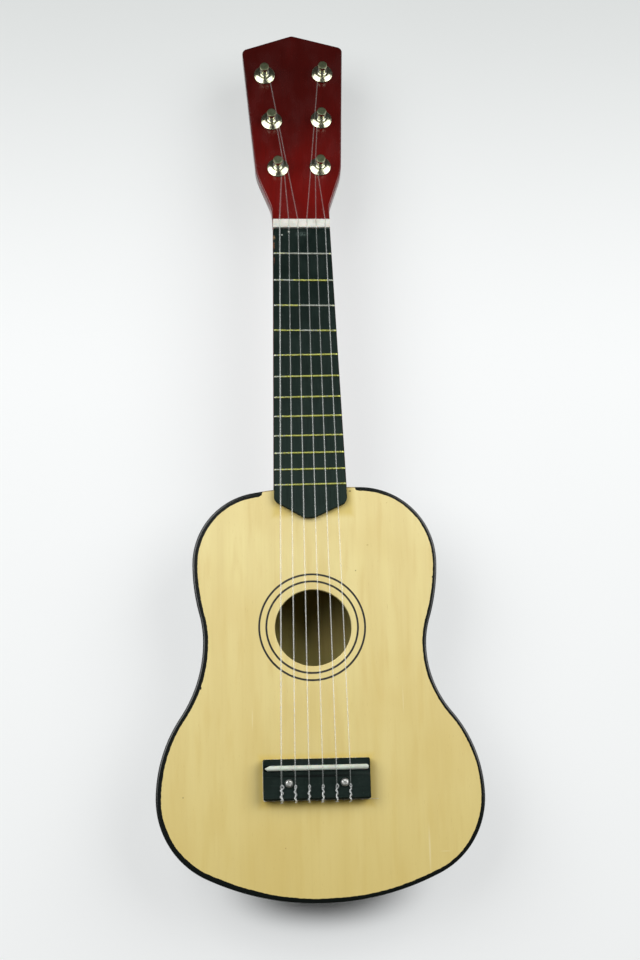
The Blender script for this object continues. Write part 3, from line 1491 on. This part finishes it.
@dataclass
class Pegs:
    """Six friction pegs: pressed ferrules and washers, turned posts, moulded buttons."""

    shaft_r: float = 2.2
    waist_r: float = 2.0
    disc_r: float = 3.1
    post_h: float = 10.6
    dome_h: float = 1.9
    button_top: float = -11.3
    stub_r: float = 1.8
    stub_l: float = 8.0

    def ferrules(self) -> None:
        """Six ferrules: a rolled rim, a low cone up to the post, a sleeve below."""
        dome = eased(np.array([[7.2, 0.25], [7.1, 0.56], [6.8, 0.76], [6.4, 0.88], [5.9, 1.05],
                               [5.2, 1.32], [4.4, 1.6], [3.6, 1.79], [3.0, self.dome_h - 0.03],
                               [2.6, self.dome_h]]), 5)
        under = np.array([[2.25, self.dome_h], [2.25, -5.0], [2.98, -5.0], [2.98, 1.0], [5.6, 0.5],
                          [6.4, 0.02], [7.0, 0.02]])
        ferrules = []
        for i in range(6):
            one = lathe(np.vstack([dome, under]))
            one.marks["tarnish"] = np.where(one.points[:, 2] < 0.2, 0.6, 0.0)
            ferrules.append(PEGS.carried(one, i))
        together(ferrules).hang("ferrules_pressed", [Stuff.NICKEL], "peg_ferrules")

    def post(self, i: int) -> None:
        """A post: disc, flared neck, waist, collar, shaft through the head, stub in the button.

        Args:
            i: the peg, from 0.
        """
        h, low = self.post_h, self.button_top - self.stub_l
        waist, disc, shaft, dome = self.waist_r, self.disc_r, self.shaft_r, self.dome_h
        flare = eased(np.array([[waist, h - 4.2], [waist + 0.06, h - 3.7], [waist + 0.3, h - 3.1],
                                [waist + 0.75, h - 2.6], [disc, h - 2.3]]), 4)
        head = np.array([[disc, h - 0.35], [disc - 0.1, h - 0.14], [disc - 0.35, h - 0.04],
                         [disc - 0.8, h], [disc * 0.5, h - 0.03], [0, h]])
        foot = np.array([[0, low + 5.4], [0.95, low + 5.0], [0.95, low],
                         [self.stub_r - 0.2, low], [self.stub_r, low + 0.2],
                         [self.stub_r, self.button_top], [shaft, self.button_top + 0.05],
                         [shaft, dome + 0.15], [shaft + 0.6, dome + 0.15],
                         [shaft + 0.7, dome + 0.22], [shaft + 0.7, dome + 0.38],
                         [shaft + 0.6, dome + 0.45], [waist, dome + 0.6]])
        form = lathe(np.vstack([foot, flare, head]))
        form.marks["tarnish"] = np.where(form.points[:, 2] > h - 0.2, 0.9, 0.0)
        name = f"peg_post_{i + 1}"
        PEGS.carried(form, i).hang(name + "_turned", [Stuff.NICKEL], name, body=f"peg_{i + 1}")

    def build(self) -> None:
        """Builds ferrules, washers, posts, buttons and button screws."""
        self.ferrules()
        eased_edges("peg_washers", "washers_stamped", Stuff.NICKEL, ROOT, 0.15)
        for i in range(6):
            n, body = i + 1, f"peg_{i + 1}"
            self.post(i)
            eased_edges(f"peg_button_{n}", f"peg_button_{n}_moulded", Stuff.KNOB, body,
                        0.7, 30, 3)
            eased_edges(f"peg_screw_{n}", f"peg_screw_{n}_head", Stuff.ZINC, body, 0.12)


# ---------------------------------------------------------------- strings

@dataclass
class Strings:
    """Six nylon strings: a twisted tie on the bridge, a run over saddle and nut, turns on a peg.

    `rub` tells how hazy the nylon is at the places `rub_y`, and `rub_outer` what the outer two
    strings have on top, since they are rubbed further up the neck.
    """

    saddle_shift: float = -3.2
    saddle_pitch: float = 8.3
    saddle_z: float = 65.8
    tie_y: float = -11.5
    tie_z: float = 3.0
    block_z: float = 64.0
    back_y: float = -18.8
    waist_r: float = 2.0
    winding_gap: float = 0.25
    winding_z: float = 2.9
    turns: float = 2.1
    sides: int = 12
    rub_y: tuple = (-3, 3, 50, 210, 280, 345, 365)
    rub: tuple = (0.03, 0.38, 0.45, 0.24, 0.06, 0.02, 0.0)
    rub_outer: tuple = (0, 0, 0, 0, 0.20, 0.20, 0)

    def guide(self, i: int) -> np.ndarray:
        """Where a string of the middle row leans on the first row's peg, in the head's frame.

        Args:
            i: the string, from 0.
        Returns:
            The place, as one point.
        """
        side, first = (-1, 0) if i < 3 else (1, 5)
        gap = self.waist_r + self.winding_gap + STRING_D[first] + STRING_D[i] / 2 + 0.1
        return PEGS.spot(first) + np.array([-side * gap, 0, self.winding_z + 1])

    def winding(self, i: int, x_nut: float) -> np.ndarray:
        """The turns round a peg: a helix that starts where the straight run touches it.

        Args:
            i: the string.
            x_nut: its place across the nut.
        Returns:
            Points in the head's frame.
        """
        side, row = PEGS.order[i]
        d = STRING_D[i]
        r = self.waist_r + self.winding_gap + d / 2
        start = self.guide(i)[:2] if row == 1 else np.array([x_nut, 0.0])
        peg = PEGS.spot(i)
        reach = np.linalg.norm(start - peg[:2])
        a0 = radians(aim(tuple(peg[:2]), tuple(start))) - side * np.arccos(r / reach)
        turn = np.linspace(0, self.turns, int(self.turns * 30))
        a = a0 - side * 2 * np.pi * turn
        return np.column_stack([peg[0] + r * np.cos(a), peg[1] + r * np.sin(a),
                                self.winding_z + d / 2 + (d + 0.1) * turn])

    def tie(self, i: int, x: float) -> tuple[np.ndarray, np.ndarray]:
        """The tie: up the back of the block, forward twisted round its own tail, a loop, and back.

        Both strands ride on one helix, half a turn apart, whose middle wavers along the block.

        Args:
            i: the string.
            x: its place across the bridge.
        Returns:
            The tail's free end to the block's back mouth, and how frayed each point is.
        """
        r = STRING_D[i] / 2
        s = np.linspace(0, 1, 34)
        wander = 0.35 * np.sin(s * 11 + i * 1.7)
        y = self.back_y - 0.3 + s * (self.tie_y - 1.2 - self.back_y)
        phase = 2 * np.pi * (1.4 + 0.2 * (i % 3)) * s + i
        mid_z, swing, rise = self.block_z + 2.1 * r, r * np.cos(phase), r * np.sin(phase)
        out = np.column_stack([x + wander + swing, y, mid_z + rise])
        back = np.column_stack([x + wander - swing, y, mid_z - rise])
        lean = 0.7 if i in (0, 4) else 0.3
        loop = np.array([[x + lean * 0.5, self.tie_y - 0.9, self.block_z + 2.6 * r],
                         [x + lean + r, self.tie_y + 0.4, self.block_z + 3.4 * r],
                         [x + lean * 0.4, self.tie_y + 1.5, self.block_z + 4.4 * r],
                         [x - r, self.tie_y + 0.5, self.block_z + 3.2 * r]])
        end = np.array([[x + wander[0] + 0.5 * (-1)**i, self.back_y - 1.5, self.block_z - 1.6],
                        [x + wander[0] + 0.2, self.back_y - 1.1, self.block_z - 0.2]])
        hole_z = FACE_Z + self.tie_z
        down = np.array([[x + wander[0] * 0.5, self.back_y - r - 0.25, self.block_z - 1.0],
                         [x, self.back_y - r - 0.25, hole_z + 1.6],
                         [x, self.back_y - r - 0.2, hole_z + 0.4],
                         [x, self.back_y + 0.1, hole_z + 0.1]])
        path = np.vstack([end, out, loop, back[::-1], down])
        fray = np.concatenate([np.full(2, 1.0), np.full(34, 0.8), np.full(4, 0.6), np.full(34, 0.7),
                               [0.6, 0.3, 0.1, 0.0]])
        return path, fray

    def haze(self, y: np.ndarray, i: int) -> np.ndarray:
        """How hazy string i is at distances from the saddle, as a fray value."""
        rub = np.add(self.rub, self.rub_outer) if i in (0, 5) else self.rub
        return np.interp(y, self.rub_y, rub)

    def whiskers(self, i: int, x: float) -> Form:
        """Three thin splinters of nylon at the cut end, each a short tapered tube.

        Args:
            i: the string, from 0.
            x: its place across the bridge.
        Returns:
            All three as one form.
        """
        draw = np.random.default_rng(40 + i)
        start = np.array([x, self.back_y - 1.2, self.block_z - 0.9])
        taper = np.array([0.2, 0.18, 0.15, 0.1, 0.05])
        splinters = []
        for _ in range(3):
            aim_at = draw.uniform((-1.2, -0.9, -0.9), (1.2, 0.4, 0.2))
            path = start + np.linspace(0, 1, 5)[:, None] * aim_at + draw.normal(0, 0.06, (5, 3))
            splinters.append(tube(path, taper, 5))
        form = together(splinters)
        form.marks["fray"] = np.ones(len(form.points))
        return form

    def build(self) -> None:
        """Builds each string as one tube from its cut end to its last turn on the peg."""
        for i in range(6):
            r = STRING_D[i] / 2
            x = self.saddle_shift + (i - 2.5) * self.saddle_pitch
            x_nut = FINGERBOARD.nut_shift + (i - 2.5) * FINGERBOARD.nut_pitch
            tie, fray = self.tie(i, x)
            between = 3
            knot = eased(tie, between)
            run = np.array([[x, self.tie_y, self.block_z],
                            [x, self.tie_y + 1.2, self.block_z + 0.4],
                            [x, -0.7, self.saddle_z + r], [x, 0, self.saddle_z + r + 0.03],
                            [x, 0.7, self.saddle_z + r + 0.02]])
            nut_z = FINGERBOARD.thick + FINGERBOARD.string_lift + r + 0.02
            edges = (AT.nut_y + 0.3, AT.nut_y + AT.nut_t - 0.3)
            over = AT.on_neck(np.array([[x_nut, y, nut_z] for y in edges]))
            straight = run[-1] + np.linspace(0.02, 0.98, 30)[:, None] * (over[0] - run[-1])
            head = self.winding(i, x_nut)
            if PEGS.order[i][1] == 1:
                head = np.vstack([self.guide(i)[None], head])
            head = AT.on_head(head)
            ahead = over[1] + np.linspace(0.1, 0.9, 6)[:, None] * (head[0] - over[1])
            path = np.vstack([knot, run, straight, over, ahead, head])
            level = self.haze(path[:, 1], i)
            steps = np.arange(len(knot)) / between
            level[:len(knot)] = np.interp(steps, np.arange(len(fray)), fray)
            pulled = np.interp(level, [0.55, 0.8], [1.0, 0.78])
            form = tube(path, r * pulled, self.sides)
            form.marks["fray"] = np.repeat(level, self.sides)
            form = form.joined(self.whiskers(i, x))
            form.hang(f"string_{i + 1}_nylon", [Stuff.NYLON], f"string_{i + 1}", smooth=50)


# ---------------------------------------------------------------- studio

@dataclass
class Studio:
    """Pale floor, pale surroundings with a dim ceiling, two large soft lamps and the camera."""

    camera_at: tuple[float, float, float] = (-35.73, -13.35, 925.12)
    right: tuple[float, float, float] = (0.99889726, -0.02393111, 0.04039263)
    down: tuple[float, float, float] = (-0.0146036, -0.97603534, -0.2171215)
    ahead: tuple[float, float, float] = (0.04462059, 0.2162922, -0.97530851)
    lens: float = 52.5
    floor_size: float = 9000.0
    floor_white: str = "F8FAFA"
    floor_far: str = "D6D9D8"
    floor_turn: tuple[float, float] = (250.0, 640.0)
    floor_glow: float = 0.56
    tail_shade: tuple = ((3.0, -76.0, 0.0), (72.0, 29.0, 5.0))
    ceiling: float = 0.04
    horizon: str = "A3A7A6"
    pale_way: tuple[float, float, float] = (1.3, -0.8, -2.0)
    pale_turn: tuple[float, float] = (0.3, 1.2)
    lamps: tuple = (((-620, 480, 930), 9.9), ((740, 500, 910), 10.2))
    lamp_size: float = 900.0
    lamp_target: tuple[float, float, float] = (0.0, 90.0, 40.0)

    def camera(self) -> None:
        """Places the camera: its right, down and forward directions are the rows of its turn."""
        data = bpy.data.cameras.new("camera")
        data.lens, data.clip_start, data.clip_end = self.lens, 0.01, 50.0
        rows = Matrix((self.right, [-v for v in self.down], [-v for v in self.ahead]))
        turn = rows.transposed().to_4x4()
        turn.translation = [v * MM for v in self.camera_at]
        camera = put("camera", data)
        camera.matrix_world = turn
        bpy.context.scene.camera = camera

    def floor(self) -> None:
        """A wide plane that keeps a soft shadow and otherwise shows as pale paper.

        Seen by the camera, straight or through the strings, it glows a little. The glow is off in
        an oval under the tail, so that the real shadow shows there.
        """
        h = self.floor_size / 2 * MM
        mesh = bpy.data.meshes.new("paper_floor")
        mesh.from_pydata([[-h, -h, 0], [h, -h, 0], [h, h, 0], [-h, h, 0]], [], [[0, 1, 2, 3]])
        plane = put("paper_floor", mesh)
        s = Shader("paper_white", Roughness=0.9, Specular_IOR_Level=0.0)
        paper = s.tint(linear(self.floor_white), [(s.along(*self.floor_turn), self.floor_far)])
        s.tree.links.new(paper, s.surface.inputs["Base Color"])
        seen = s.add("Math", {0: s.add("LightPath", out="Is Camera Ray"),
                              1: s.add("LightPath", out="Is Transmission Ray")},
                     operation="MAXIMUM")
        shaded = s.mark(*self.tail_shade, to=self.floor_glow, soft=0.7)
        left = s.add("Math", {0: self.floor_glow, 1: shaded}, operation="SUBTRACT")
        share = s.add("Math", {0: seen, 1: left}, operation="MULTIPLY")
        glow = s.add("Emission", {"Color": paper, "Strength": 1.0})
        mixed = s.add("MixShader", {0: share, 1: s.surface.outputs[0], 2: glow})
        s.tree.links.new(mixed, s.tree.nodes["Material Output"].inputs["Surface"])
        mesh.materials.append(s.material)

    def surroundings(self) -> None:
        """A world that is pale low down on the left and right, dim overhead and at both ends.

        The camera sees the floor's far colour in its place.
        """
        world = bpy.data.worlds.new("studio")
        world.use_nodes = True
        bpy.context.scene.world = world
        tree = world.node_tree
        tree.nodes.clear()
        s = Nodes(tree)
        way = s.add("VectorMath", {0: s.add("TexCoord", out="Generated")}, operation="ABSOLUTE")
        lean = s.add("VectorMath", {0: way, 1: self.pale_way}, out="Value",
                     operation="DOT_PRODUCT")
        pale = s.add("MapRange", {"Value": lean, "From Min": self.pale_turn[0],
                                  "From Max": self.pale_turn[1]},
                     interpolation_type="SMOOTHSTEP")
        dim = (self.ceiling, self.ceiling, self.ceiling * 0.98, 1.0)
        shade = s.add("Mix", {0: pale, 6: dim, 7: linear(self.horizon)}, 2, data_type="RGBA")
        seen = s.add("Mix", {0: s.add("LightPath", out="Is Camera Ray"), 6: shade,
                             7: linear(self.floor_far)}, 2, data_type="RGBA")
        lit = s.add("Background", {"Color": seen, "Strength": 1.0})
        end = tree.nodes.new("ShaderNodeOutputWorld")
        tree.links.new(lit, end.inputs["Surface"])

    def light(self) -> None:
        """Two square soft lamps, high on either side of the head, aimed at the soundbox."""
        for k, (place, power) in enumerate(self.lamps):
            data = bpy.data.lights.new(f"soft_lamp_{k + 1}", "AREA")
            data.shape, data.size, data.energy = "SQUARE", self.lamp_size * MM, power
            lamp = put(f"soft_lamp_{k + 1}", data)
            lamp.location = [v * MM for v in place]
            way = Vector(v * MM for v in self.lamp_target) - lamp.location
            lamp.rotation_euler = way.to_track_quat("-Z", "Y").to_euler()

    def build(self) -> None:
        """Sets up camera, floor, world, lamps and the plain colour transform."""
        self.camera()
        self.floor()
        self.surroundings()
        self.light()
        bpy.context.scene.view_settings.view_transform = "Standard"


def main() -> None:
    """Builds the studio and the guitar's sub-assemblies in order."""
    logging.basicConfig(level=logging.INFO, format="%(name)s %(message)s")
    for part in (Studio(), Soundbox(), Neck(), FINGERBOARD, Bridge(), Pegs(), Strings()):
        LOG.info("building %s", type(part).__name__.lower())
        part.build()


if __name__ == "__main__":
    main()
